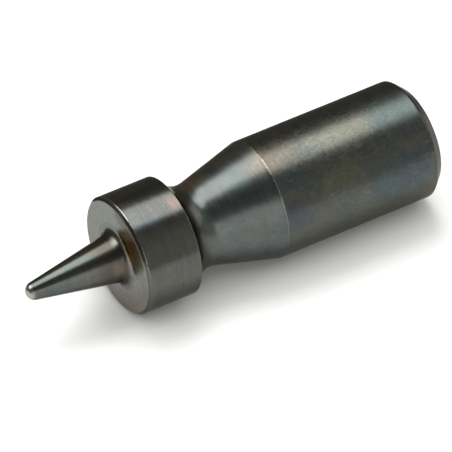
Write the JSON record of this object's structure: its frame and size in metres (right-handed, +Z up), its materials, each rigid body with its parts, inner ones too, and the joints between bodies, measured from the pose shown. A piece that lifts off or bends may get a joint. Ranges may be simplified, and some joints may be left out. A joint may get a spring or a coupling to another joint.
{
  "type": "grommet setting punch",
  "caption": "Hand-struck steel setting punch with a tapered pilot, a flat-shouldered collar, a waisted neck and a plain round shank.",
  "frame": {"origin": "on the surface that the punch lies on, under the middle of its length", "axes": "+X along the punch's axis from the pilot's tip to the struck face, +Z up, the axis 11.1 mm above the surface"},
  "size_m": [0.08, 0.0222, 0.0222],
  "materials": {
    "pilot_steel": "satin turned steel, heat-tinted brown and teal towards its foot, worn bright at the tip",
    "collar_steel": "dark oxide on turned steel with fine circular tool marks, a paler setting face and bright worn edges",
    "shank_steel": "dark mottled oxide on bar stock, smoother on the turned taper, heat-tinted brown in the neck"
  },
  "bodies": {
    "punch": {"pilot": "pilot_steel", "setting_collar": "collar_steel", "shank": "shank_steel"}
  },
  "joints": []
}
